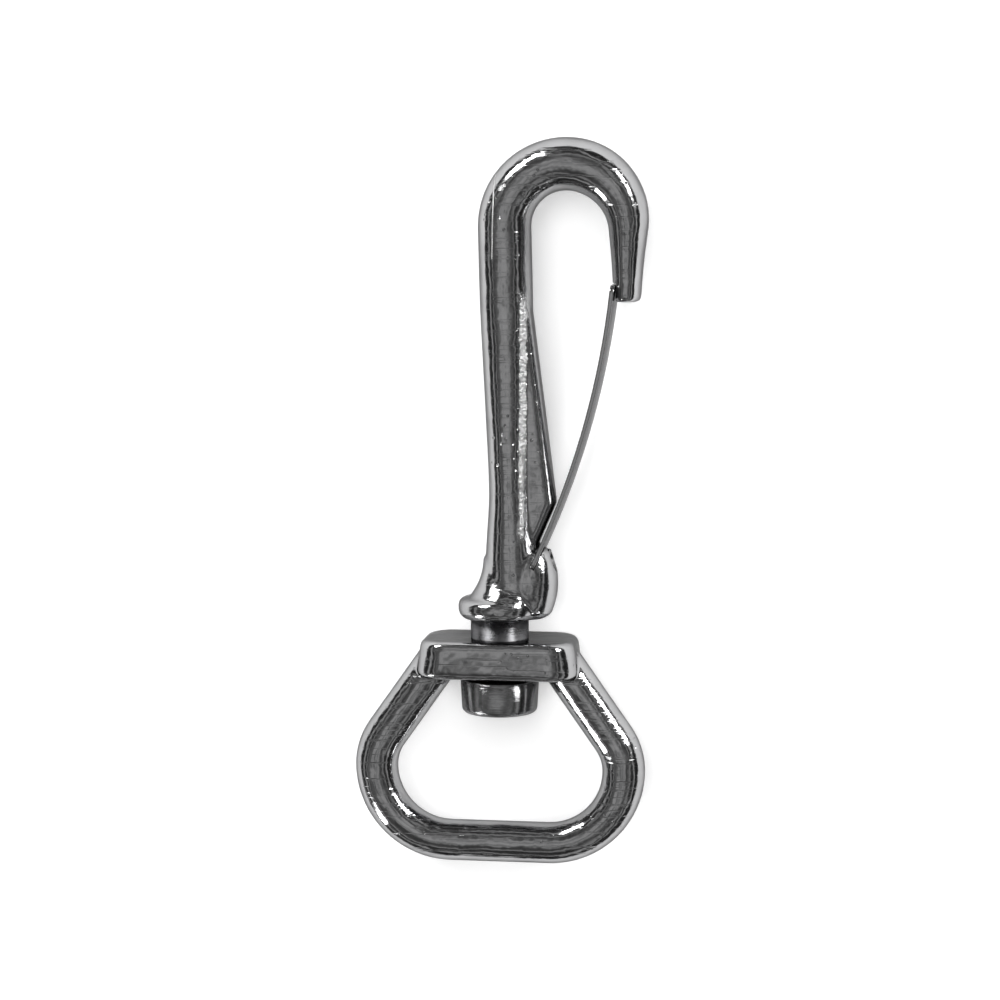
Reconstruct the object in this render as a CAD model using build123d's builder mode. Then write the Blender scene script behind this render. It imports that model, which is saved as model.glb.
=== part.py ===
from build123d import *
from math import atan2, copysign, cos, degrees, pi, radians, sin, sqrt
import os

# Swivel snap hook, lying flat. Millimetres.
# The swivel axis is the Y axis, and the hook lies in the plane Z = 0.
# The origin is halfway along the whole snap. The hook points to +Y and opens to +X.

# --- clearances ---
swivel_clearance = 0.08  # radial, between the neck and the bore of the eye
axial_gap = 0.5  # between the boss of the eye and the retaining collar
pocket_clearance = 0.06  # all round the tail of the spring
seat_clearance = 0.05  # between the free end of the spring and its seat in the nose
shoulder_gap = 0.3  # above the free end of the spring, in the nose
rib_gap = 0.3  # between the rib and the spring

# --- swivel eye ---
loop_radius = 3.0  # of the round bar that the loop is made of
bar_straight = 6.9  # half length of the straight of the strap bar
corner_radius = 10.6  # centreline of the lower corners
side_radius = 8.0  # centreline of the bowed sides
limb_end_x = 8.4  # where a limb ends inside the boss, from the swivel axis
limb_seat = 2.2  # how far the end of a limb reaches into the boss
boss_length = 22.6  # along X
boss_depth = 12.4  # along Z
boss_height = 5.3  # along Y
boss_rise = 23.9  # from the middle of the strap bar to the underside of the boss
boss_corner = 4.0  # rounding of the corners of the boss, seen along the swivel axis
boss_edge = 0.9  # rounding of the rims of the boss
bore_edge = 0.4  # chamfer at both ends of the bore

# --- neck, tenon and retaining collar ---
neck_radius = 4.05
neck_play = 2.65  # room for the eye to slide along the neck
tenon_radius = 2.8
flare = 0.7  # peened end of the tenon, in the countersink of the collar
collar_radius = 5.5
collar_height = 4.8
collar_taper = 0.2
collar_round = 0.8  # lower edge
collar_chamfer = 0.15  # upper edge

# --- foot of the hook ---
lip_radius = 5.8
lip_height = 3.3
lip_round = 1.45  # lower edge
lip_top_round = 0.6
bell_offset = 0.9  # of the axis of the bell above the lip from the swivel axis
bell_radius = 3.2
bell_flare = 1.3  # how much wider the bell is where it meets the lip
bell_height = 8.6  # above the underside of the foot
lobe_offset = 4.3  # of the axis of the lobe from the swivel axis
lobe_radius = 3.9
lobe_end_radius = 2.6
lobe_height = 10.4
lobe_round = 1.0

# --- shank, bow and nose ---
shank_lean = 1.5  # degrees, towards -X
shank_foot_x = 2.09
shank_length = 54.4  # from the underside of the foot to the start of the bow
bow_radius = 8.55  # centreline
nose_length = 10.4
nose_shift = 0.15  # the end of the nose is set this far towards the spring
foot_half_width = 3.9
waist_half_width = 3.05
shank_half_width = 3.68
crown_half_width = 3.66
nose_root_half_width = 2.77
nose_half_width = 1.85
shank_half_depth = 4.1
crown_half_depth = 4.15
nose_half_depth = 3.2
nose_round = 0.7
squareness = 2.3  # exponent of the cast section: 2 is an ellipse

# --- rib along the inside of the shank ---
rib_top = 45.0  # above the underside of the foot
rib_top_reach = 3.4  # from the centreline of the shank
rib_corner_run = 5.0  # along the spring, from its root to the corner of the rib
rib_half_depth = 2.7
rib_round = 1.3

# --- leaf spring, its pocket and its rivet ---
leaf_thickness = 0.6
leaf_width = 7.4
leaf_corner = 1.0
leaf_bow = 1.42  # how far the leaf bulges from its chord
tail_length = 4.3
root_x = 6.65  # where the leaf leaves the foot
root_height = 11.55  # above the underside of the foot
seat_depth = 0.5  # cut in the nose for the free end of the leaf
seat_height = 2.8  # from the end of the nose to the shoulder of the seat
rivet_radius = 0.8
rivet_run = 2.6  # along the tail, from the root
rivet_head_radius = 1.25
rivet_head_seat = 0.85  # from the middle of the leaf to the underside of the head
rivet_head_height = 0.35
rivet_dome = 0.25
rivet_depth = 2.6  # blind, beyond the leaf

# --- heights along the swivel axis ---
lean = radians(shank_lean)
boss_to_foot = boss_height + neck_play
bow_rise = shank_length * cos(lean) + bow_radius * (1 + sin(lean)) + crown_half_width
overall_length = loop_radius + boss_rise + boss_to_foot + bow_rise
bar_y = loop_radius - overall_length / 2
boss_bottom = bar_y + boss_rise
boss_top = boss_bottom + boss_height
foot_bottom = boss_top + neck_play
collar_top = boss_bottom - axial_gap
collar_bottom = collar_top - collar_height


def across(height):
    """The plane square to the swivel axis at a height along it."""
    return Plane(origin=(0, height, 0), x_dir=(1, 0, 0), z_dir=(0, 1, 0))


def square_to(line, share, shift=0.0):
    """The plane across a line of the hook, with its x axis towards the inside of the bend."""
    ahead = line % share
    inward = ahead.cross(Vector(0, 0, 1))
    return Plane(origin=line @ share + inward * shift, x_dir=inward, z_dir=ahead)


def cast_section(plane, half_width, half_depth):
    """A rounded, slightly square section: x across the hook, y through its thickness."""
    count = 16
    points = []
    for k in range(count):
        angle = 2 * pi * k / count
        x = copysign(abs(cos(angle)) ** (2 / squareness), cos(angle)) * half_width
        y = copysign(abs(sin(angle)) ** (2 / squareness), sin(angle)) * half_depth
        points.append((x, y))
    with BuildSketch(plane) as section:
        with BuildLine():
            Spline(*points, periodic=True)
        make_face()
    return section.sketch


# Centreline of the hook, from the foot over the bow to the nose.
with BuildLine() as hook_line:
    shank = PolarLine((shank_foot_x, foot_bottom), shank_length, 90 + shank_lean)
    bow = JernArc(shank @ 1, shank % 1, bow_radius, -180 - shank_lean)
    nose = PolarLine(bow @ 1, nose_length, -90)

nose_end = nose @ 1
nose_inside = nose_end.X - nose_shift - nose_half_width

# The leaf, from its root in the foot to its free end in the seat of the nose.
root = Vector(root_x, foot_bottom + root_height)
free_end = Vector(
    nose_inside + seat_depth - seat_clearance - leaf_thickness / 2,
    nose_end.Y + seat_height - shoulder_gap,
)
chord = free_end - root
bulge = root + chord / 2 + Vector(chord.Y, -chord.X).normalized() * leaf_bow
with BuildLine() as leaf_line:
    leaf_arc = ThreePointArc(root, bulge, free_end)
    leaf_way = leaf_arc % 0
    leaf_tail = Line(root - leaf_way * tail_length, root)
leaf_out = Vector(leaf_way.Y, -leaf_way.X)
rivet_middle = root - leaf_way * rivet_run
rivet_plane = Plane(origin=rivet_middle, x_dir=(0, 0, 1), z_dir=leaf_out)


# --- rib: stiffens the shank and guards the root of the spring ---
rib_corner = root + leaf_way * rib_corner_run - leaf_out * (leaf_thickness / 2 + rib_gap)
rib_foot = rib_corner - leaf_way * (rib_corner_run + tail_length)
rib_head = shank @ (rib_top / shank_length)
with BuildPart() as rib:
    with BuildSketch():
        Polygon(
            (rib_head.X, rib_head.Y),
            (shank_foot_x, rib_foot.Y),
            (rib_foot.X, rib_foot.Y),
            (rib_corner.X, rib_corner.Y),
            (rib_head.X + rib_top_reach, rib_head.Y),
            align=None,
        )
    extrude(amount=rib_half_depth, both=True)
    rib_ends = rib.edges().filter_by(Axis.Z)
    fillet(rib_ends.sort_by(Axis.X)[-1], rib_round)
    rib_rims = rib.faces().filter_by(Axis.Z).edges()
    fillet(rib_rims.filter_by(lambda edge: edge.center().X > rib_foot.X), rib_round)


# --- bell: the shank widens towards the lip ---
with BuildPart() as bell:
    with BuildSketch():
        with BuildLine():
            bell_side = JernArc(
                (bell_offset + bell_radius, foot_bottom + bell_height),
                (0, -1),
                radius=((bell_height - lip_height) ** 2 + bell_flare**2) / (2 * bell_flare),
                arc_size=2 * degrees(atan2(bell_flare, bell_height - lip_height)),
            )
            Polyline(
                bell_side @ 1,
                (bell_offset + bell_radius + bell_flare, foot_bottom + lip_height / 2),
                (bell_offset, foot_bottom + lip_height / 2),
                (bell_offset, foot_bottom + bell_height),
                bell_side @ 0,
            )
        make_face()
    revolve(axis=Axis((bell_offset, 0, 0), (0, 1, 0)))


# --- lobe: the thick side of the foot, which holds the spring ---
with BuildPart() as lobe:
    lobe_top = foot_bottom + lobe_height
    with BuildSketch():
        with BuildLine():
            lobe_side = ThreePointArc(
                (lobe_offset + lobe_end_radius, foot_bottom),
                (lobe_offset + lobe_radius, foot_bottom + lobe_height / 2),
                (lobe_offset + lobe_end_radius, lobe_top),
            )
            Polyline(lobe_side @ 1, (lobe_offset, lobe_top), (lobe_offset, foot_bottom), lobe_side @ 0)
        make_face()
    revolve(axis=Axis((lobe_offset, 0, 0), (0, 1, 0)))
    fillet(lobe.faces().filter_by(Axis.Y).edges(), lobe_round)


# --- hook body: one casting, with its neck and tenon ---
with BuildPart() as hook_body:
    stations = [
        (shank, 0.04, foot_half_width, shank_half_depth, 0),
        (shank, 0.15, foot_half_width, shank_half_depth, 0),
        (shank, 0.32, waist_half_width, shank_half_depth, 0),
        (shank, 0.55, (waist_half_width + shank_half_width) / 2, shank_half_depth, 0),
        (shank, 0.80, shank_half_width, shank_half_depth, 0),
        (bow, 0.00, shank_half_width, shank_half_depth, 0),
        (bow, 0.17, shank_half_width, crown_half_depth, 0),
        (bow, 0.34, crown_half_width, crown_half_depth, 0),
        (bow, 0.50, crown_half_width, crown_half_depth, 0),
        (bow, 0.67, crown_half_width, crown_half_depth, 0),
        (bow, 0.84, (crown_half_width + nose_root_half_width) / 2, crown_half_depth, 0),
        (bow, 1.00, nose_root_half_width, (crown_half_depth + nose_half_depth) / 2, 0),
        (nose, 0.45, (nose_root_half_width + nose_half_width) / 2, nose_half_depth, nose_shift / 2),
        (nose, 1.00, nose_half_width, nose_half_depth, nose_shift),
    ]
    for line, share, half_width, half_depth, shift in stations:
        add(cast_section(square_to(line, share, shift), half_width, half_depth))
    loft()
    nose_face = hook_body.faces().filter_by(Axis.Y).sort_by(Axis.X)[-1]
    fillet(nose_face.edges(), nose_round)
    add(rib.part)
    add(bell.part)
    add(lobe.part)

    # lip, neck and tenon, turned about the swivel axis
    with BuildSketch() as turned:
        with BuildLine():
            lip_top = foot_bottom + lip_height
            bevel = Line((tenon_radius + flare, collar_bottom), (tenon_radius, collar_bottom + flare))
            tenon = Line(bevel @ 1, (tenon_radius, collar_top))
            shoulder = Line(tenon @ 1, (neck_radius, collar_top))
            neck = Line(shoulder @ 1, (neck_radius, foot_bottom))
            underside = Line(neck @ 1, (lip_radius - lip_round, foot_bottom))
            lower_round = JernArc(underside @ 1, (1, 0), lip_round, 90)
            rim = Line(lower_round @ 1, (lip_radius, lip_top - lip_top_round))
            upper_round = JernArc(rim @ 1, (0, 1), lip_top_round, 90)
            Polyline(upper_round @ 1, (0, lip_top), (0, collar_bottom), bevel @ 0)
        make_face()
    revolve(axis=Axis.Y)

    # pocket and hole for the spring and its rivet
    with BuildSketch():
        with BuildLine():
            Line(leaf_tail @ 0 - leaf_way * pocket_clearance, root + leaf_way * 2)
        trace(line_width=leaf_thickness + 2 * pocket_clearance)
    extrude(amount=leaf_width / 2 + pocket_clearance, both=True, mode=Mode.SUBTRACT)
    with BuildSketch(rivet_plane.offset(-rivet_depth)):
        Circle(rivet_radius)
    extrude(amount=rivet_depth + rivet_head_seat, mode=Mode.SUBTRACT)
    with BuildSketch(rivet_plane.offset(rivet_head_seat)):
        Circle(rivet_head_radius)
    extrude(amount=3, mode=Mode.SUBTRACT)

    # seat for the free end of the spring
    with BuildSketch():
        with Locations((nose_inside + seat_depth, nose_end.Y + seat_height)):
            Rectangle(4, 2 * seat_height, align=(Align.MAX, Align.MAX))
    extrude(amount=crown_half_depth, both=True, mode=Mode.SUBTRACT)


# A limb leaves the arc of the side where its straight line to the boss touches it.
limb_across = limb_end_x - (bar_straight + corner_radius - side_radius)
limb_up = boss_rise + limb_seat - corner_radius
limb_run = sqrt(limb_across**2 + limb_up**2 - side_radius**2)
side_turn = degrees(atan2(limb_up, limb_across) - atan2(limb_run, side_radius))


# --- boss of the eye ---
with BuildPart() as boss:
    with BuildSketch(across(boss_bottom)):
        RectangleRounded(boss_length, boss_depth, boss_corner)
    extrude(amount=boss_height)
    fillet(boss.faces().filter_by(Axis.Y).edges(), boss_edge)


# --- swivel eye: one casting ---
with BuildPart() as swivel_eye:
    with BuildLine(mode=Mode.PRIVATE) as loop_line:
        bar = Line((0, bar_y), (bar_straight, bar_y))
        corner = JernArc(bar @ 1, bar % 1, corner_radius, 90)
        side = JernArc(corner @ 1, corner % 1, side_radius, side_turn)
        limb = PolarLine(side @ 1, limb_run, 90 + side_turn)
    with BuildSketch(square_to(bar, 0)):
        Circle(loop_radius)
    sweep(path=loop_line.line)
    mirror(about=Plane.YZ)
    add(boss.part)
    bore = neck_radius + swivel_clearance
    with BuildSketch(across(boss_bottom)):
        Circle(bore)
    extrude(amount=boss_height, mode=Mode.SUBTRACT)


# --- retaining collar ---
with BuildPart() as retaining_collar:
    with BuildSketch() as ring:
        Polygon(
            (tenon_radius + flare, collar_bottom),
            (tenon_radius, collar_bottom + flare),
            (tenon_radius, collar_top),
            (collar_radius, collar_top),
            (collar_radius - collar_taper, collar_bottom),
            align=None,
        )
        outer = ring.vertices().sort_by(Axis.X)[-2:]
        fillet(outer.sort_by(Axis.Y)[0], collar_round)
        chamfer(outer.sort_by(Axis.Y)[-1], collar_chamfer)
    revolve(axis=Axis.Y)


# --- leaf spring ---
with BuildPart() as gate_spring:
    with BuildSketch():
        trace(leaf_line.line, leaf_thickness)
    extrude(amount=leaf_width / 2, both=True)
    short_edges = gate_spring.edges().filter_by(lambda edge: edge.length < 1.01 * leaf_thickness)
    fillet(short_edges.group_by(Axis.Y)[-1], leaf_corner)
    with BuildSketch(rivet_plane.offset(-leaf_thickness)):
        Circle(rivet_radius + pocket_clearance)
    extrude(amount=2 * leaf_thickness, mode=Mode.SUBTRACT)


# --- rivet of the spring ---
with BuildPart() as spring_rivet:
    with BuildSketch(rivet_plane.offset(-rivet_depth)):
        Circle(rivet_radius)
    extrude(amount=rivet_depth + rivet_head_seat)
    with BuildSketch(rivet_plane.offset(rivet_head_seat)):
        Circle(rivet_head_radius)
    extrude(amount=rivet_head_height)
    with BuildSketch(rivet_plane.offset(rivet_head_seat + rivet_head_height)):
        Circle(rivet_head_radius)
    with BuildSketch(rivet_plane.offset(rivet_head_seat + rivet_head_height + rivet_dome)):
        Circle(rivet_head_radius / 2)
    loft()


os.makedirs("parts", exist_ok=True)
hook_body.part.label = "hook_body"
swivel_eye.part.label = "swivel_eye"
retaining_collar.part.label = "retaining_collar"
gate_spring.part.label = "gate_spring"
spring_rivet.part.label = "spring_rivet"
export_step(hook_body.part, "parts/hook_body.step")
export_step(swivel_eye.part, "parts/swivel_eye.step")
export_step(retaining_collar.part, "parts/retaining_collar.step")
export_step(gate_spring.part, "parts/gate_spring.step")
export_step(spring_rivet.part, "parts/spring_rivet.step")
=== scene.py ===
from math import atan2, cos, pi, radians, sin, sqrt, tan

import bpy
import numpy as np
from mathutils import Matrix, Vector


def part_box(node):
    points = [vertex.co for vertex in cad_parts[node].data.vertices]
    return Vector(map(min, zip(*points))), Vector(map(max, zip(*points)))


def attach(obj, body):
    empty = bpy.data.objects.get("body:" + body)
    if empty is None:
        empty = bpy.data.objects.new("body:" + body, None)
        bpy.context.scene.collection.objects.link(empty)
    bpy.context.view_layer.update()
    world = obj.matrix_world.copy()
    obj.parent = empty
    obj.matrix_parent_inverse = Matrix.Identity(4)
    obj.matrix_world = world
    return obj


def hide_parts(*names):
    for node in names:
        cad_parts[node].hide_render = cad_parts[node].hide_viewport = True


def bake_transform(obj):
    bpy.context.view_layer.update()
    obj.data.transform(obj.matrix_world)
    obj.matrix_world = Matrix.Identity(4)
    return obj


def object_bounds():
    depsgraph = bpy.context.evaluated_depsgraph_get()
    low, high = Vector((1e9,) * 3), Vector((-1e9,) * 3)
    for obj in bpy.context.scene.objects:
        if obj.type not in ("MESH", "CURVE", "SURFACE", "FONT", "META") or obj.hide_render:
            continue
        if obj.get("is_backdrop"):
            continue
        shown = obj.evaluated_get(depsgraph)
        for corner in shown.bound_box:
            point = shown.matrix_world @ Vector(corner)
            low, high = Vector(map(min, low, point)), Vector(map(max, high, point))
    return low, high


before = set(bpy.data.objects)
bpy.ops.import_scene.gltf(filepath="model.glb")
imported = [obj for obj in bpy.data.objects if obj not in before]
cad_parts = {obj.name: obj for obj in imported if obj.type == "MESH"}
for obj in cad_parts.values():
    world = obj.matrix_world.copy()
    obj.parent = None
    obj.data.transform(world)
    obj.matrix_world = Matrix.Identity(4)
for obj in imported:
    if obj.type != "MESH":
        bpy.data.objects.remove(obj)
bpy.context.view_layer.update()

MM = 0.001

# Sizes in millimetres, as in the CAD model. Places come from the boxes of the CAD nodes.
EYE_LOW, EYE_HIGH = (np.array(corner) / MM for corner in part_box("swivel_eye"))
COLLAR_LOW, COLLAR_HIGH = (np.array(corner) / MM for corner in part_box("retaining_collar"))
LEAF_LOW, LEAF_HIGH = (np.array(corner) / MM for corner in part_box("gate_spring"))

LOOP_RADIUS = 3.0
BAR_STRAIGHT = 6.9
CORNER_RADIUS = 10.6
SIDE_RADIUS = 8.0
LIMB_END_X = 8.4
LIMB_SEAT = 2.2
BOSS_LENGTH = 22.6
BOSS_DEPTH = EYE_HIGH[2] - EYE_LOW[2]
BOSS_HEIGHT = 5.3
BOSS_EDGE = 0.9
BOSS_CORNER = 4.0
AXIAL_GAP = 0.5
NECK_RADIUS = 4.05
NECK_PLAY = 2.65
TENON_RADIUS = 2.8
COLLAR_RADIUS = 5.5
LIP_RADIUS = 5.8
LIP_HEIGHT = 3.3
BELL_OFFSET = 0.9
BELL_RADIUS = 3.2
BELL_FLARE = 1.3
BELL_HEIGHT = 8.6
LOBE_OFFSET = 4.3
LOBE_RADIUS = 3.9
LOBE_END_RADIUS = 2.6
LOBE_HEIGHT = 10.4
SHANK_LEAN = radians(1.5)
SHANK_FOOT_X = 2.09
SHANK_LENGTH = 54.4
BOW_RADIUS = 8.55
NOSE_LENGTH = 10.4
NOSE_SHIFT = 0.15
NOSE_HALF_WIDTH = 1.85
NOSE_ROUND = 0.8
SQUARENESS = 2.12
RIB_TOP = 45.0
LEAF_THICKNESS = 0.6
LEAF_WIDTH = LEAF_HIGH[2] - LEAF_LOW[2]
LEAF_BOW = 1.42
TAIL_LENGTH = 4.3
ROOT_X = 6.65
ROOT_HEIGHT = 11.55
SEAT_DEPTH = 0.5
SEAT_HEIGHT = 2.8
SEAT_CLEARANCE = 0.05
SHOULDER_GAP = 0.3
SLOT_CLEARANCE = 0.06
BORE_CLEARANCE = 0.08
BORE_BEVEL = 0.35
TURNED_BEVEL = 0.15
RIVET_RUN = 2.6

# Half the width and half the depth of the hook's section: on the shank by the distance from the underside
# of the foot, and on the bow and the nose by the share of their length.
SHANK_SECTIONS = [(0, 3.9, 4.1), (8.2, 3.9, 4.1), (17.4, 3.0, 4.1), (29.9, 3.3, 4.1), (43.5, 3.68, 4.1)]
BOW_SECTIONS = [(0, 3.68, 4.1), (0.5, 3.66, 4.15), (0.67, 3.66, 4.15), (0.84, 3.25, 4.1), (1.0, 2.77, 3.7)]
NOSE_SECTIONS = [(0.45, 2.2, 3.2), (1.0, 1.85, 3.1)]

BAR_Y = EYE_LOW[1] + LOOP_RADIUS
BOSS_BOTTOM = COLLAR_HIGH[1] + AXIAL_GAP
BOSS_TOP = BOSS_BOTTOM + BOSS_HEIGHT
FOOT_Y = BOSS_TOP + NECK_PLAY

# A limb of the eye leaves the arc of the side where its line to the boss touches it.
LIMB_ACROSS = LIMB_END_X - (BAR_STRAIGHT + CORNER_RADIUS - SIDE_RADIUS)
LIMB_UP = BOSS_BOTTOM + LIMB_SEAT - BAR_Y - CORNER_RADIUS
LIMB_RUN = sqrt(LIMB_ACROSS ** 2 + LIMB_UP ** 2 - SIDE_RADIUS ** 2)
SIDE_TURN = atan2(LIMB_UP, LIMB_ACROSS) - atan2(LIMB_RUN, SIDE_RADIUS)


def smooth_over(values, spread):
    """Values sampled evenly, smoothed with a bell curve; the ends stay."""
    reach = int(3 * spread)
    bell = np.exp(-0.5 * (np.arange(-reach, reach + 1) / spread) ** 2)
    padded = np.pad(values, reach, mode="edge")
    return np.convolve(padded, bell / bell.sum(), mode="valid")


def mesh_object(name, vertices, faces, body=None):
    """A shaded-smooth object from points in millimetres."""
    mesh = bpy.data.meshes.new(name)
    mesh.from_pydata((np.asarray(vertices) * MM).tolist(), [], faces)
    mesh.validate()
    mesh.shade_smooth()
    piece = bpy.data.objects.new(name, mesh)
    bpy.context.scene.collection.objects.link(piece)
    if body:
        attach(piece, body)
    return piece


def skin_rings(rings):
    """Vertices and faces of a closed tube through rings with the same number of points."""
    rings = np.asarray(rings)
    rows, around = rings.shape[:2]
    faces = []
    for i in range(rows - 1):
        for j in range(around):
            k = (j + 1) % around
            faces.append((i * around + j, i * around + k, (i + 1) * around + k, (i + 1) * around + j))
    faces.append(tuple(reversed(range(around))))
    faces.append(tuple(range((rows - 1) * around, rows * around)))
    return rings.reshape(-1, 3), faces


def lathe_rings(profile, centre_x=0.0, around=96):
    """Rings about an axis along Y, from a profile of (radius, y)."""
    angles = np.arange(around) * 2 * pi / around
    return [
        [(centre_x + r * cos(a), y, r * sin(a)) for a in angles]
        for r, y in profile
    ]


def arc_points(centre, radius, start, end, count=8):
    """Points of an arc in the plane of a profile, with angles in degrees."""
    turns = np.radians(np.linspace(start, end, count))
    return [(centre[0] + radius * cos(t), centre[1] + radius * sin(t)) for t in turns]


def tube_rings(points, ahead, half_width, half_depth, exponent=2.0, around=96):
    """Rings square to a line in the plane of the hook, with a rounded, slightly square section."""
    angles = np.arange(around) * 2 * pi / around
    across = np.sign(np.cos(angles)) * np.abs(np.cos(angles)) ** (2 / exponent)
    through = np.sign(np.sin(angles)) * np.abs(np.sin(angles)) ** (2 / exponent)
    inward = np.stack([ahead[:, 1], -ahead[:, 0]], 1)
    rings = np.zeros((len(points), around, 3))
    reach = across[None, :, None] * half_width[:, None, None]
    rings[:, :, :2] = points[:, None, :] + inward[:, None, :] * reach
    rings[:, :, 2] = through[None, :] * half_depth[:, None]
    return rings


def joined(name, shells):
    """One object out of several closed shells, each a pair of vertices and faces."""
    vertices, faces, start = [], [], 0
    for points, quads in shells:
        vertices.append(points)
        faces += [tuple(start + i for i in face) for face in quads]
        start += len(points)
    return mesh_object(name, np.concatenate(vertices), faces)


def modified(piece, kind, **settings):
    """The piece with one modifier applied to its mesh."""
    modifier = piece.modifiers.new(kind, kind)
    for key, value in settings.items():
        setattr(modifier, key, value)
    graph = bpy.context.evaluated_depsgraph_get()
    mesh = bpy.data.meshes.new_from_object(piece.evaluated_get(graph))
    piece.modifiers.clear()
    old = piece.data
    piece.data = mesh
    bpy.data.meshes.remove(old)
    return piece


def cast_together(name, shells, voxel, rounds):
    """Closed shells fused into one casting whose inner corners are softened."""
    piece = joined(name, shells)
    modified(piece, "REMESH", mode="VOXEL", voxel_size=voxel * MM, use_smooth_shade=True)
    modified(piece, "SMOOTH", factor=0.5, iterations=rounds)
    return piece


def cut(piece, vertices, faces):
    """The piece with a closed shell taken away from it."""
    tool = mesh_object("cutter", vertices, faces)
    modified(piece, "BOOLEAN", operation="DIFFERENCE", object=tool, solver="EXACT")
    bpy.data.objects.remove(tool)
    return piece


def block(low, high, turn=0.0, centre=(0.0, 0.0)):
    """Vertices and faces of a box, turned about Z at a centre."""
    corners = []
    for x in (low[0], high[0]):
        for y in (low[1], high[1]):
            turned_x = centre[0] + x * cos(turn) - y * sin(turn)
            turned_y = centre[1] + x * sin(turn) + y * cos(turn)
            corners += [(turned_x, turned_y, low[2]), (turned_x, turned_y, high[2])]
    faces = [(0, 1, 3, 2), (4, 6, 7, 5), (0, 4, 5, 1), (2, 3, 7, 6), (0, 2, 6, 4), (1, 5, 7, 3)]
    return np.array(corners), faces


# --- lines of the hook and the leaf ---
SHANK_AHEAD = np.array([-sin(SHANK_LEAN), cos(SHANK_LEAN)])
SHANK_RIGHT = np.array([SHANK_AHEAD[1], -SHANK_AHEAD[0]])
SHANK_FOOT = np.array([SHANK_FOOT_X, FOOT_Y])
BOW_START = SHANK_FOOT + SHANK_AHEAD * SHANK_LENGTH
BOW_CENTRE = BOW_START + SHANK_RIGHT * BOW_RADIUS
BOW_ANGLE = pi + SHANK_LEAN
BOW_LENGTH = BOW_RADIUS * BOW_ANGLE
HOOK_LENGTH = SHANK_LENGTH + BOW_LENGTH + NOSE_LENGTH
NOSE_END = BOW_CENTRE + np.array([BOW_RADIUS, -NOSE_LENGTH])
NOSE_INSIDE = NOSE_END[0] - NOSE_SHIFT - NOSE_HALF_WIDTH


def along_hook(run):
    """Point and direction of the hook's centreline at a distance from the underside of the foot."""
    if run <= SHANK_LENGTH:
        return SHANK_FOOT + SHANK_AHEAD * run, SHANK_AHEAD
    if run <= SHANK_LENGTH + BOW_LENGTH:
        turn = pi + SHANK_LEAN - (run - SHANK_LENGTH) / BOW_RADIUS
        spoke = np.array([cos(turn), sin(turn)])
        return BOW_CENTRE + spoke * BOW_RADIUS, np.array([spoke[1], -spoke[0]])
    past = run - SHANK_LENGTH - BOW_LENGTH
    return BOW_CENTRE + np.array([BOW_RADIUS, -past]), np.array([0.0, -1.0])


ROOT = np.array([ROOT_X, FOOT_Y + ROOT_HEIGHT])
FREE_END = np.array([
    NOSE_INSIDE + SEAT_DEPTH - SEAT_CLEARANCE - LEAF_THICKNESS / 2,
    NOSE_END[1] + SEAT_HEIGHT - SHOULDER_GAP,
])
CHORD = FREE_END - ROOT
CHORD_LENGTH = np.hypot(*CHORD)
LEAF_RADIUS = CHORD_LENGTH ** 2 / (8 * LEAF_BOW) + LEAF_BOW / 2
LEAF_HALF_ANGLE = np.arcsin(CHORD_LENGTH / 2 / LEAF_RADIUS)
CHORD_OUT = np.array([CHORD[1], -CHORD[0]]) / CHORD_LENGTH
LEAF_CENTRE = ROOT + CHORD / 2 - CHORD_OUT * (LEAF_RADIUS - LEAF_BOW)
ROOT_SPOKE = (ROOT - LEAF_CENTRE) / LEAF_RADIUS
ROOT_AHEAD = np.array([-ROOT_SPOKE[1], ROOT_SPOKE[0]])
ROOT_OUT = ROOT_SPOKE


def along_leaf(run):
    """Point and outward direction of the leaf at a distance from its root; the tail has a negative one."""
    if run < 0:
        return ROOT + ROOT_AHEAD * run, ROOT_OUT
    turn = run / LEAF_RADIUS
    spoke = ROOT_SPOKE * cos(turn) + np.array([-ROOT_SPOKE[1], ROOT_SPOKE[0]]) * sin(turn)
    return LEAF_CENTRE + spoke * LEAF_RADIUS, spoke


def rivet_rings(profile, around=48):
    """Rings about the rivet's axis, from a profile of (radius, distance out of the leaf)."""
    angles = np.arange(around) * 2 * pi / around
    rows = []
    for radius, out in profile:
        middle = ROOT - ROOT_AHEAD * RIVET_RUN + ROOT_OUT * out
        along = middle + ROOT_AHEAD * radius * np.cos(angles)[:, None]
        rows.append(np.column_stack([along, radius * np.sin(angles)]))
    return rows


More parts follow.
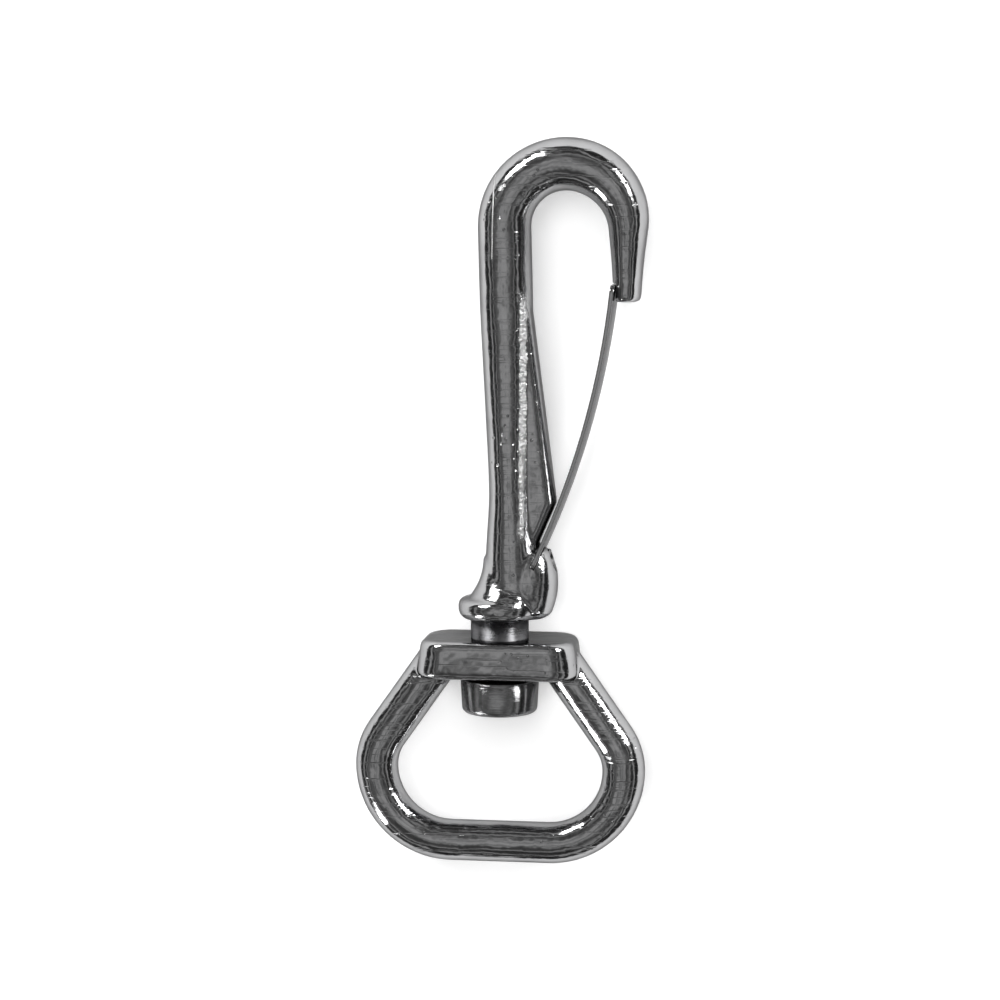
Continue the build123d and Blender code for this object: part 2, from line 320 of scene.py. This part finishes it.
# --- pieces ---
def make_hook():
    """The cast hook, without its turned neck."""
    runs = np.arange(2.2, HOOK_LENGTH + 1e-6, 0.25)
    bow_end = SHANK_LENGTH + BOW_LENGTH
    sections = list(SHANK_SECTIONS)
    sections += [(SHANK_LENGTH + BOW_LENGTH * share, width, depth) for share, width, depth in BOW_SECTIONS]
    sections += [(bow_end + NOSE_LENGTH * share, width, depth) for share, width, depth in NOSE_SECTIONS]
    knots, widths, depths = zip(*sections)
    half_width = smooth_over(np.interp(runs, knots, widths), 8)
    half_depth = smooth_over(np.interp(runs, knots, depths), 8)
    lines = [along_hook(run) for run in runs]
    points = np.array([line[0] for line in lines])
    ahead = np.array([line[1] for line in lines])
    shift = NOSE_SHIFT * np.clip((runs - bow_end) / NOSE_LENGTH, 0, 1)
    points[:, 0] -= shift
    left = np.clip((HOOK_LENGTH - runs) / NOSE_ROUND, 0, 1)
    shrink = NOSE_ROUND * (1 - np.sqrt(1 - (1 - left) ** 2))
    tube = skin_rings(tube_rings(points, ahead, half_width - shrink, half_depth - shrink, SQUARENESS))

    rib_rows = []
    corner_at, corner_out = along_leaf(5.0)
    corner = corner_at - corner_out * (LEAF_THICKNESS / 2 + 0.35)
    foot_at, _ = along_leaf(-TAIL_LENGTH)
    foot = foot_at - ROOT_OUT * (LEAF_THICKNESS / 2 + 0.35)
    head_at, _ = along_hook(RIB_TOP)
    for y in np.linspace(foot[1], head_at[1], 120):
        if y < corner[1]:
            outer = np.interp(y, [foot[1], corner[1]], [foot[0], corner[0]])
        else:
            outer = np.interp(y, [corner[1], head_at[1]], [corner[0], head_at[0] + 3.35])
        inner = SHANK_FOOT_X - 1.5
        middle, reach = (outer + inner) / 2, (outer - inner) / 2
        turns = np.arange(64) * 2 * pi / 64
        x = middle + reach * np.sign(np.cos(turns)) * np.abs(np.cos(turns)) ** 0.5
        z = 2.7 * np.sign(np.sin(turns)) * np.abs(np.sin(turns)) ** 0.5
        rib_rows.append(np.stack([x, np.full(64, y), z], 1))
    rib = skin_rings(rib_rows)

    bulge = LOBE_RADIUS - LOBE_END_RADIUS
    lobe_profile = [(0.02, FOOT_Y + 0.05)]
    for t in np.linspace(0, 1, 40):
        round_in = (max(0, 1 - t / 0.09) ** 2 + max(0, (t - 0.91) / 0.09) ** 2)
        radius = LOBE_END_RADIUS + bulge * (1 - (2 * t - 1) ** 2) - round_in
        lobe_profile.append((radius, FOOT_Y + 0.05 + (LOBE_HEIGHT - 0.1) * t))
    lobe_profile.append((0.02, FOOT_Y + LOBE_HEIGHT - 0.05))
    lobe = skin_rings(lathe_rings(lobe_profile, LOBE_OFFSET))

    lip_profile = [(0.02, FOOT_Y)]
    lip_profile += arc_points((LIP_RADIUS - 1.45, FOOT_Y + 1.45), 1.45, -90, 0)
    lip_profile += arc_points((LIP_RADIUS - 1.0, FOOT_Y + LIP_HEIGHT - 1.3), 1.0, 0, 90)
    for t in np.linspace(0.06, 1, 24):
        lip_profile.append((LIP_RADIUS - 1.0 - 3.1 * t ** 0.5, FOOT_Y + LIP_HEIGHT - 0.3 + 4.2 * t ** 1.6))
    lip_profile.append((0.02, FOOT_Y + LIP_HEIGHT + 3.9))
    lip = skin_rings(lathe_rings(lip_profile))
    bell_profile = [(0.02, FOOT_Y + 1.0), (BELL_RADIUS + BELL_FLARE, FOOT_Y + 1.0)]
    for t in np.linspace(0, 1, 24):
        bell_profile.append((BELL_RADIUS + (BELL_FLARE + 0.5) * (1 - t) ** 2.2,
                             FOOT_Y + LIP_HEIGHT + (BELL_HEIGHT - LIP_HEIGHT) * t))
    bell_profile.append((0.02, FOOT_Y + BELL_HEIGHT + 1.5))
    bell = skin_rings(lathe_rings(bell_profile, BELL_OFFSET))

    hook = cast_together("hook_casting", [tube, rib, lobe, lip, bell], 0.2, 18)

    slot_turn = np.arctan2(ROOT_AHEAD[1], ROOT_AHEAD[0])
    half = LEAF_THICKNESS / 2 + SLOT_CLEARANCE
    cut(hook, *block((-TAIL_LENGTH - SLOT_CLEARANCE, -half, -LEAF_WIDTH / 2 - SLOT_CLEARANCE),
                     (4.0, half, LEAF_WIDTH / 2 + SLOT_CLEARANCE), slot_turn, ROOT))
    cut(hook, *block((NOSE_INSIDE - 3, NOSE_END[1] - 1, -6),
                     (NOSE_INSIDE + SEAT_DEPTH, NOSE_END[1] + SEAT_HEIGHT, 6)))
    cut(hook, *skin_rings(rivet_rings([(1.3, 0.85), (1.3, 4.0)])))

    # the smoothed casting keeps to the size of the CAD one
    low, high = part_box("hook_body")
    vertices = hook.data.vertices
    points = np.empty(len(vertices) * 3)
    vertices.foreach_get("co", points)
    vertices.foreach_set("co", np.clip(points.reshape(-1, 3), low, high).ravel())
    return hook


def make_neck():
    """The turned neck and the peened tenon, in one with the hook."""
    low = COLLAR_LOW[1]
    profile = [(0.02, low + 0.02), (3.1, low + 0.02), (3.42, low + 0.12), (TENON_RADIUS, low + 0.72)]
    profile += [(TENON_RADIUS, COLLAR_HIGH[1] + 0.01), (NECK_RADIUS - TURNED_BEVEL, COLLAR_HIGH[1] + 0.01)]
    profile += [(NECK_RADIUS, COLLAR_HIGH[1] + 0.16), (NECK_RADIUS, FOOT_Y + 0.6), (0.02, FOOT_Y + 0.6)]
    return mesh_object("neck", *skin_rings(lathe_rings(profile)))


def make_collar():
    """The turned collar below the boss."""
    low, high = COLLAR_LOW[1], COLLAR_HIGH[1]
    profile = [(TENON_RADIUS, high), (COLLAR_RADIUS - TURNED_BEVEL, high)]
    profile.append((COLLAR_RADIUS, high - TURNED_BEVEL))
    profile += [(COLLAR_RADIUS - 0.2, low + 0.8)]
    profile += arc_points((COLLAR_RADIUS - 1.0, low + 0.8), 0.8, 0, -90, 10)[1:]
    profile += [(TENON_RADIUS + 0.7, low), (TENON_RADIUS, low + 0.7)]
    rings = np.asarray(lathe_rings(profile))
    vertices, faces = skin_rings(rings)
    faces = faces[:-2]
    around, rows = rings.shape[1], len(profile)
    for j in range(around):
        k = (j + 1) % around
        faces.append(((rows - 1) * around + j, (rows - 1) * around + k, k, j))
    return mesh_object("collar", vertices, faces)


def make_eye():
    """The cast eye: loop and boss, with its bore."""
    corner_y = BAR_Y + CORNER_RADIUS
    side_x = BAR_STRAIGHT + CORNER_RADIUS
    points, ahead, radii = [], [], []
    for x in np.linspace(0, BAR_STRAIGHT, 24)[:-1]:
        points.append((x, BAR_Y))
        ahead.append((1, 0))
        radii.append(2.9)
    for t in np.linspace(0, pi / 2, 60)[:-1]:
        points.append((BAR_STRAIGHT + CORNER_RADIUS * sin(t), corner_y - CORNER_RADIUS * cos(t)))
        ahead.append((cos(t), sin(t)))
        radii.append(2.9 + 0.1 * t / (pi / 2))
    for t in np.linspace(0, SIDE_TURN, 24)[:-1]:
        points.append((side_x - SIDE_RADIUS * (1 - cos(t)), corner_y + SIDE_RADIUS * sin(t)))
        ahead.append((-sin(t), cos(t)))
        radii.append(3.0)
    start = np.array([side_x - SIDE_RADIUS * (1 - cos(SIDE_TURN)), corner_y + SIDE_RADIUS * sin(SIDE_TURN)])
    way = np.array([-sin(SIDE_TURN), cos(SIDE_TURN)])
    for run in np.linspace(0, LIMB_RUN, 50):
        points.append(tuple(start + way * run))
        ahead.append(tuple(way))
        radii.append(3.0)
    points, ahead, radii = np.array(points), np.array(ahead, float), np.array(radii)
    both_points = np.concatenate([points[::-1] * [-1, 1], points[1:]])
    both_ahead = np.concatenate([ahead[::-1] * [1, -1], ahead[1:]])
    both_radii = smooth_over(np.concatenate([radii[::-1], radii[1:]]), 6)
    loop = skin_rings(tube_rings(both_points, both_ahead, both_radii, both_radii))

    flat = (BOSS_LENGTH / 2 - BOSS_CORNER, BOSS_DEPTH / 2 - BOSS_CORNER)
    rows = []
    edges = arc_points((0, BOSS_EDGE), BOSS_EDGE, -90, 0)
    edges += arc_points((0, BOSS_HEIGHT - BOSS_EDGE), BOSS_EDGE, 0, 90)
    turns = (np.arange(128) + 0.5) * 2 * pi / 128
    for out, y in edges:
        radius = BOSS_CORNER - BOSS_EDGE + out
        taper = 1.01 - 0.06 * y / BOSS_HEIGHT
        rows.append([(taper * (np.sign(cos(t)) * flat[0] + radius * cos(t)), BOSS_BOTTOM + y,
                      np.sign(sin(t)) * flat[1] + radius * sin(t)) for t in turns])
    boss = skin_rings(rows)
    eye = cast_together("eye_casting", [loop, boss], 0.2, 12)
    bore = NECK_RADIUS + BORE_CLEARANCE
    mouth = bore + BORE_BEVEL
    profile = [(mouth, BOSS_BOTTOM - 0.5), (mouth, BOSS_BOTTOM), (bore, BOSS_BOTTOM + BORE_BEVEL)]
    profile += [(bore, BOSS_TOP - BORE_BEVEL), (mouth, BOSS_TOP), (mouth, BOSS_TOP + 0.5)]
    return cut(eye, *skin_rings(lathe_rings(profile)))


def make_leaf():
    """The leaf spring, with rounded edges and its free end's corners rounded."""
    length = LEAF_RADIUS * 2 * LEAF_HALF_ANGLE
    corner = 1.0
    edge = 0.13
    tail = np.linspace(-TAIL_LENGTH, 0, 8)[:-1]
    strip = np.linspace(0, length - corner, 110)[:-1]
    tip = length - corner + np.sin(np.linspace(0, pi / 2, 9)) * corner
    runs = np.concatenate([tail, strip, tip])
    rings = []
    turns = np.radians([0, 30, 60, 90])
    for run in runs:
        at, out = along_leaf(run)
        over = max(0.0, run - (length - corner))
        half = LEAF_WIDTH / 2 - (corner - np.sqrt(max(0.0, corner ** 2 - over ** 2)))
        ring = []
        for sx, sz, begin in ((1, 1, 0), (-1, 1, 1), (-1, -1, 2), (1, -1, 3)):
            for t in turns:
                a = begin * pi / 2 + t
                through = sx * (LEAF_THICKNESS / 2 - edge) + edge * cos(a)
                z = sz * (half - edge) + edge * sin(a)
                spot = at + out * through
                ring.append((spot[0], spot[1], z))
        rings.append(ring)
    return mesh_object("leaf", *skin_rings(rings))


def make_rivet():
    """The domed head of the rivet, and its shank through the leaf."""
    profile = [(0.8, -2.5), (0.8, 0.85), (1.2, 0.85), (1.25, 0.92), (1.25, 1.15), (1.18, 1.25)]
    profile += [(0.95, 1.36), (0.6, 1.43), (0.25, 1.45)]
    return mesh_object("rivet", *skin_rings(rivet_rings(profile)))


# --- materials ---
class Nodes:
    """A material's node tree, with short calls to add and join nodes."""

    def __init__(self, name):
        self.material = bpy.data.materials.new(name)
        self.material.use_nodes = True
        self.tree = self.material.node_tree
        self.shader = self.tree.nodes["Principled BSDF"]

    def add(self, kind, inputs=None, **settings):
        node = self.tree.nodes.new(kind)
        for key, value in settings.items():
            setattr(node, key, value)
        for key, value in (inputs or {}).items():
            if isinstance(value, bpy.types.NodeSocket):
                self.tree.links.new(value, node.inputs[key])
            else:
                node.inputs[key].default_value = value
        return node

    def ramp(self, value, stops):
        node = self.add("ShaderNodeValToRGB", {"Fac": value})
        elements = node.color_ramp.elements
        while len(elements) < len(stops):
            elements.new(0.5)
        for element, (place, level) in zip(elements, stops):
            element.position = place
            element.color = (level, level, level, 1)
        return node.outputs["Color"]

    def math(self, operation, *values):
        """The output of a math node; values are numbers or outputs."""
        return self.add("ShaderNodeMath", dict(enumerate(values)), operation=operation).outputs[0]

    def step(self, value, low, high):
        """1 below low, 0 above high, and smooth between them."""
        inputs = {0: value, 1: low, 2: high, 3: 1.0, 4: 0.0}
        return self.add("ShaderNodeMapRange", inputs, interpolation_type="SMOOTHSTEP").outputs[0]

    def shade(self, share, dark, light):
        """A colour between two others."""
        mix = self.add("ShaderNodeMix", {"Factor": share}, data_type="RGBA")
        for key, colour in (("A", dark), ("B", light)):
            if isinstance(colour, bpy.types.NodeSocket):
                self.tree.links.new(colour, mix.inputs[key])
            else:
                mix.inputs[key].default_value = (*colour, 1)
        return mix.outputs["Result"]

    def bump(self, height, strength, distance, normal=None, sunk=False):
        """A normal with a bump on it; a sunk one is a hollow."""
        inputs = {"Height": height, "Strength": strength, "Distance": distance}
        if normal is not None:
            inputs["Normal"] = normal
        return self.add("ShaderNodeBump", inputs, invert=sunk).outputs["Normal"]

    def seam(self, place, start, end, half_width):
        """A ragged line on the upper side between two points (x, y) in millimetres: 1 on it, 0 off it."""
        start, end = Vector(start) * MM, Vector(end) * MM
        half_width *= MM
        length = (end - start).length
        turn = np.arctan2(*(end - start).yx)
        waver = self.add("ShaderNodeTexNoise", {"Vector": place, "Scale": 900.0, "Detail": 3.0})
        inputs = {"Vector": place, "Location": (*start, 0.0), "Rotation": (0, 0, turn)}
        line = self.add("ShaderNodeMapping", inputs, vector_type="TEXTURE")
        parts = self.add("ShaderNodeSeparateXYZ", {0: line.outputs["Vector"]})
        away = self.math("ABSOLUTE", parts.outputs["Y"])
        away = self.math("MULTIPLY_ADD", waver.outputs["Fac"], half_width, away)
        beside = self.step(away, half_width * 0.7, half_width * 1.6)
        middle = self.math("ABSOLUTE", self.math("SUBTRACT", parts.outputs["X"], length / 2))
        within = self.step(middle, length * 0.42, length * 0.52)
        above = self.math("GREATER_THAN", parts.outputs["Z"], 0.0)
        return self.math("MULTIPLY", self.math("MULTIPLY", beside, within), above)

    def link(self, output, key):
        self.tree.links.new(output, self.shader.inputs[key])


def metal(name):
    """A bare metal's nodes and its place on the piece."""
    n = Nodes(name)
    n.shader.inputs["Metallic"].default_value = 1.0
    n.shader.inputs["Specular Tint"].default_value = (0.30, 0.30, 0.30, 1)
    return n, n.add("ShaderNodeTexCoord").outputs["Object"]


def noise(n, place, scale, detail, roughness=0.5):
    """The level of a noise texture."""
    inputs = {"Vector": place, "Scale": scale, "Detail": detail, "Roughness": roughness}
    return n.add("ShaderNodeTexNoise", inputs).outputs["Fac"]


def darker(colour, share):
    """A colour with each of its levels scaled."""
    return [level * share for level in colour]


def polished(name, colour, roughness, dents=0.36, scratches=0.10, pits=0.5, seams_and_painted_highlights=()):
    """Plated, polished metal: soft dents, cloudy gloss, fine scratches, a few pits, and worn seams whose
    colour is also lightened as a painted highlight line.
    """
    n, place = metal(name)
    cloud = noise(n, place, 260.0, 5.0, 0.6)
    tint = n.shade(n.ramp(cloud, [(0.3, 0.0), (0.7, 1.0)]), darker(colour, 0.86), colour)
    gloss = n.ramp(noise(n, place, 700.0, 6.0, 0.65), [(0.3, roughness * 0.75), (0.75, roughness * 1.7)])
    seam_wear_and_painted_highlight = None
    for seam in seams_and_painted_highlights:
        mask = n.seam(place, *seam)
        seam_wear_and_painted_highlight = mask if seam_wear_and_painted_highlight is None else n.math("MAXIMUM", mask, seam_wear_and_painted_highlight)
    if seam_wear_and_painted_highlight is not None:
        gloss = n.math("MULTIPLY_ADD", seam_wear_and_painted_highlight, 0.34, gloss)
        # Painted highlight: along the seam lines the colour is lightened towards 0.80, on the upper side
        # only, in place of a light reflection line. The added roughness and grit are the real seam.
        tint = n.shade(seam_wear_and_painted_highlight, tint, (0.80, 0.80, 0.80))
    n.link(tint, "Base Color")
    n.link(gloss, "Roughness")

    normal = n.bump(noise(n, place, 150.0, 3.0), dents, 0.001)
    for turn in (0.5, 2.1, -0.9):
        inputs = {"Vector": place, "Rotation": (0.2, 0.1, turn), "Scale": (60.0, 2600.0, 400.0)}
        line = noise(n, n.add("ShaderNodeMapping", inputs).outputs["Vector"], 1.0, 3.0)
        normal = n.bump(n.ramp(line, [(0.62, 0.0), (0.70, 1.0)]), scratches, 0.0002, normal, sunk=True)
    spots = n.add("ShaderNodeTexVoronoi", {"Vector": place, "Scale": 900.0, "Randomness": 1.0})
    hole = n.ramp(spots.outputs["Distance"], [(0.10, 1.0), (0.22, 0.0)])
    few = n.ramp(noise(n, place, 120.0, 2.0), [(0.58, 0.0), (0.66, 1.0)])
    normal = n.bump(n.math("MULTIPLY", hole, few), pits, 0.0002, normal, sunk=True)
    if seam_wear_and_painted_highlight is not None:
        grit = noise(n, place, 2600.0, 3.0)
        normal = n.bump(n.math("MULTIPLY", grit, seam_wear_and_painted_highlight), 0.8, 0.0003, normal)
    n.link(normal, "Normal")
    return n.material


def turned_metal(name, colour, roughness):
    """Turned metal with fine rings about the swivel axis."""
    n, place = metal(name)
    rings = n.add("ShaderNodeMapping", {"Vector": place, "Scale": (40.0, 6000.0, 40.0)})
    cloud = noise(n, place, 500.0, 5.0)
    n.link(n.shade(n.ramp(cloud, [(0.35, 0.0), (0.65, 1.0)]), darker(colour, 0.7), colour), "Base Color")
    n.link(n.ramp(cloud, [(0.3, roughness * 0.8), (0.7, roughness * 1.4)]), "Roughness")
    n.link(n.bump(noise(n, rings.outputs["Vector"], 1.0, 3.0), 0.25, 0.0002), "Normal")
    return n.material


def spring_metal(name, colour, roughness):
    """Rolled spring strip, with a grain along its length."""
    n, place = metal(name)
    grain = n.add("ShaderNodeMapping", {"Vector": place, "Scale": (150.0, 30.0, 5200.0)})
    lines = noise(n, grain.outputs["Vector"], 1.0, 4.0)
    n.link(n.shade(lines, darker(colour, 0.8), colour), "Base Color")
    n.link(n.ramp(lines, [(0.3, roughness * 0.8), (0.7, roughness * 1.5)]), "Roughness")
    n.link(n.bump(lines, 0.15, 0.0001), "Normal")
    return n.material


def finish(piece, body, node, material):
    """Puts a piece on its body, in its CAD node's place, with its material."""
    piece.data.materials.clear()
    piece.data.materials.append(material)
    if body:
        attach(piece, body)
    if node:
        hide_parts(node)
    return piece


bow_left = BOW_CENTRE[0] - BOW_RADIUS
# Seam lines on the casting's upper face, as (start, end, half width) in mm. Each is a rough seam and also a
# painted highlight line with lightened colour. The first runs along the shank's right side.
seams_and_painted_highlights = [
    ((bow_left + 2.9, FOOT_Y + 11), (bow_left + 3.0, FOOT_Y + 46), 0.62),
    ((bow_left - 1.2, FOOT_Y + 50), (bow_left - 1.0, FOOT_Y + 62), 0.10),
]
casting = polished("polished_casting", (0.46, 0.46, 0.465), 0.10, seams_and_painted_highlights=seams_and_painted_highlights)
eye_metal = polished("polished_eye", (0.46, 0.46, 0.465), 0.09, scratches=0.14)
collar_metal = turned_metal("turned_collar", (0.42, 0.42, 0.425), 0.12)
# Painted shade: the neck is one metal with the hook but gets a dark colour (0.15 against 0.46), standing in
# for the shade in the gap between the boss and the foot.
neck_painted_shade_metal = turned_metal("turned_neck_painted_shade", (0.15, 0.15, 0.155), 0.26)
leaf_metal = spring_metal("spring_strip", (0.46, 0.46, 0.465), 0.16)
rivet_metal = turned_metal("rivet_steel", (0.34, 0.34, 0.345), 0.22)

hook = finish(make_hook(), "hook", "hook_body", casting)
neck = finish(make_neck(), "hook", None, neck_painted_shade_metal)
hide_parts("hook_body")
finish(make_collar(), "hook", "retaining_collar", collar_metal)
finish(make_eye(), "eye", "swivel_eye", eye_metal)
finish(make_rivet(), "hook", "spring_rivet", rivet_metal)
leaf = finish(make_leaf(), None, "gate_spring", leaf_metal)
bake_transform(leaf)


# --- floor, lights and camera ---
def make_floor():
    """A white floor just below the object, which looks dimmer in the metal than to the camera."""
    low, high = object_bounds()
    mesh = bpy.data.meshes.new("floor")
    side = 3.0
    corners = [(-side, -side, 0), (side, -side, 0), (side, side, 0), (-side, side, 0)]
    mesh.from_pydata(corners, [], [(0, 1, 2, 3)])
    floor = bpy.data.objects.new("floor", mesh)
    floor.location.z = low[2] - 0.00005
    bpy.context.scene.collection.objects.link(floor)
    n = Nodes("floor_white")
    n.shader.inputs["Base Color"].default_value = (0.82, 0.82, 0.82, 1)
    n.shader.inputs["Roughness"].default_value = 0.9
    n.shader.inputs["Specular IOR Level"].default_value = 0.0
    path = n.add("ShaderNodeLightPath")
    mirrored = n.math("MULTIPLY", path.outputs["Is Glossy Ray"], 0.10)
    level = n.math("MULTIPLY_ADD", path.outputs["Is Camera Ray"], 0.30, mirrored)
    n.shader.inputs["Emission Color"].default_value = (1, 1, 1, 1)
    n.link(level, "Emission Strength")
    mesh.materials.append(n.material)
    floor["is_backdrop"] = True


def make_world():
    """A dim room: light and dark bands from the horizon to overhead, with soft uneven patches."""
    world = bpy.data.worlds.new("studio")
    bpy.context.scene.world = world
    world.use_nodes = True
    tree = world.node_tree
    background = tree.nodes["Background"]
    place = tree.nodes.new("ShaderNodeTexCoord").outputs["Generated"]
    split = tree.nodes.new("ShaderNodeSeparateXYZ")
    patches = tree.nodes.new("ShaderNodeTexNoise")
    patches.inputs["Scale"].default_value = 3.2
    patches.inputs["Detail"].default_value = 3.0
    uneven = tree.nodes.new("ShaderNodeMath")
    uneven.operation = "MULTIPLY_ADD"
    uneven.inputs[1].default_value = 0.62
    scaled = tree.nodes.new("ShaderNodeMath")
    scaled.operation = "MULTIPLY"
    scaled.inputs[1].default_value = 0.70
    ramp = tree.nodes.new("ShaderNodeValToRGB")
    tree.links.new(place, split.inputs[0])
    tree.links.new(place, patches.inputs["Vector"])
    tree.links.new(patches.outputs["Fac"], uneven.inputs[0])
    tree.links.new(split.outputs["Z"], uneven.inputs[2])
    tree.links.new(uneven.outputs[0], scaled.inputs[0])
    tree.links.new(scaled.outputs[0], ramp.inputs["Fac"])
    stops = [(0.0, 0.55), (0.18, 0.30), (0.30, 0.05), (0.44, 0.02), (0.50, 0.62), (0.56, 0.08)]
    stops += [(0.64, 0.02), (0.71, 0.40), (0.78, 0.06), (0.86, 0.18), (0.93, 0.55), (1.0, 0.24)]
    elements = ramp.color_ramp.elements
    while len(elements) < len(stops):
        elements.new(0.5)
    for element, (at, level) in zip(elements, stops):
        element.position = at
        element.color = (level, level, level, 1)
    tree.links.new(ramp.outputs["Color"], background.inputs["Color"])
    background.inputs["Strength"].default_value = 1.0


def area_lamp(name, azimuth, elevation, distance, size, power, mirrored=True):
    """A soft lamp that looks at the object, in a direction given in degrees; azimuth 0 is +X and 90 is +Y."""
    around, up = radians(azimuth), radians(elevation)
    place = Vector((cos(around) * cos(up), sin(around) * cos(up), sin(up))) * distance
    lamp = bpy.data.lights.new(name, "AREA")
    lamp.shape = "RECTANGLE"
    lamp.size, lamp.size_y = size
    lamp.energy = power
    lamp_object = bpy.data.objects.new(name, lamp)
    lamp_object.location = place
    lamp_object.rotation_euler = (-place).to_track_quat("-Z", "Y").to_euler()
    lamp_object.visible_glossy = mirrored
    bpy.context.scene.collection.objects.link(lamp_object)


def make_camera():
    """A long lens that looks down on the object, a little from above and from its right."""
    low, high = (Vector(corner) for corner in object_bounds())
    ahead = 0.0006
    target = (low + high) / 2 + Vector((0, ahead, 0))
    away = Vector((tan(radians(8.0)), tan(radians(7.5)), 1.0)).normalized()
    distance = 0.43
    frame_width = 0.1390
    camera = bpy.data.cameras.new("camera")
    camera.sensor_width = 36.0
    camera.lens = camera.sensor_width * distance / frame_width
    camera.clip_start = 0.01
    camera.clip_end = 20
    right = Vector((0, 1, 0)).cross(away).normalized()
    up = away.cross(right)
    holder = bpy.data.objects.new("camera", camera)
    turn = Matrix((right, up, away)).transposed().to_4x4()
    holder.matrix_world = Matrix.Translation(target + away * distance) @ turn
    bpy.context.scene.collection.objects.link(holder)
    bpy.context.scene.camera = holder


make_floor()
make_world()
area_lamp("window_right", 32, 24, 0.9, (0.42, 0.20), 4.5)
area_lamp("window_left", 128, 28, 0.9, (0.40, 0.22), 4.5)
area_lamp("door", 222, 20, 0.9, (0.14, 0.34), 1.6)
area_lamp("ceiling", 100, 80, 1.2, (1.0, 1.0), 12.0, mirrored=False)
make_camera()
bpy.context.scene.view_settings.view_transform = "Standard"
